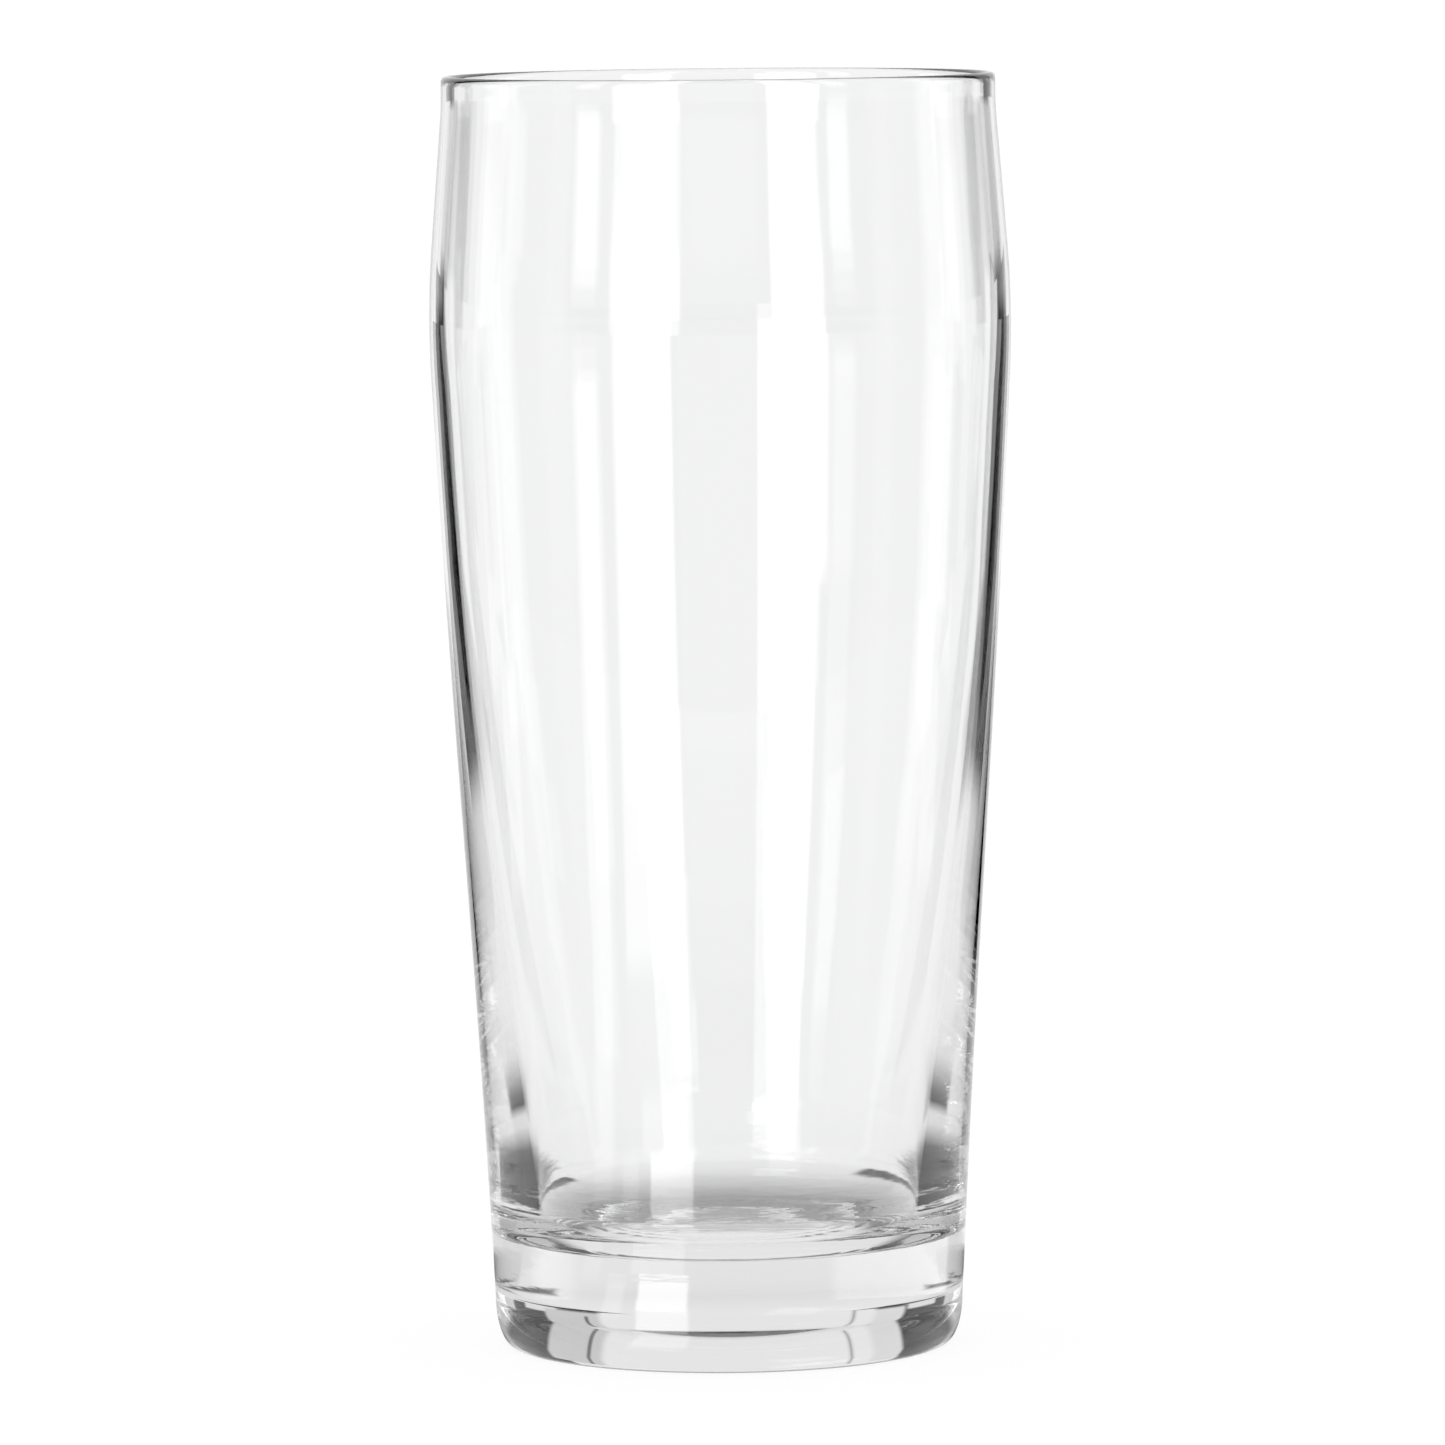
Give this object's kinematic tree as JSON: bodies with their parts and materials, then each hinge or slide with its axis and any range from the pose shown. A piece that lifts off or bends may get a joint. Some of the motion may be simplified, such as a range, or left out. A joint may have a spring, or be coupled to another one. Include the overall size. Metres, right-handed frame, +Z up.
{
  "type": "pint glass",
  "caption": "Clear pint drinking glass with a thick solid base, a gently flared wall, a soft bulge below the rim and a rounded fire-polished lip.",
  "frame": {"origin": "centre of the ring that the glass stands on, on the surface under it", "axes": "+Z up along the axis of the glass, from the base to the rim; +X and +Y are level and free to choose, because the glass is round"},
  "size_m": [0.0742, 0.0742, 0.1629],
  "materials": {
    "clear_glass": "clear, fire-polished"
  },
  "bodies": {
    "root": {"glass_body": "clear_glass"}
  },
  "joints": []
}
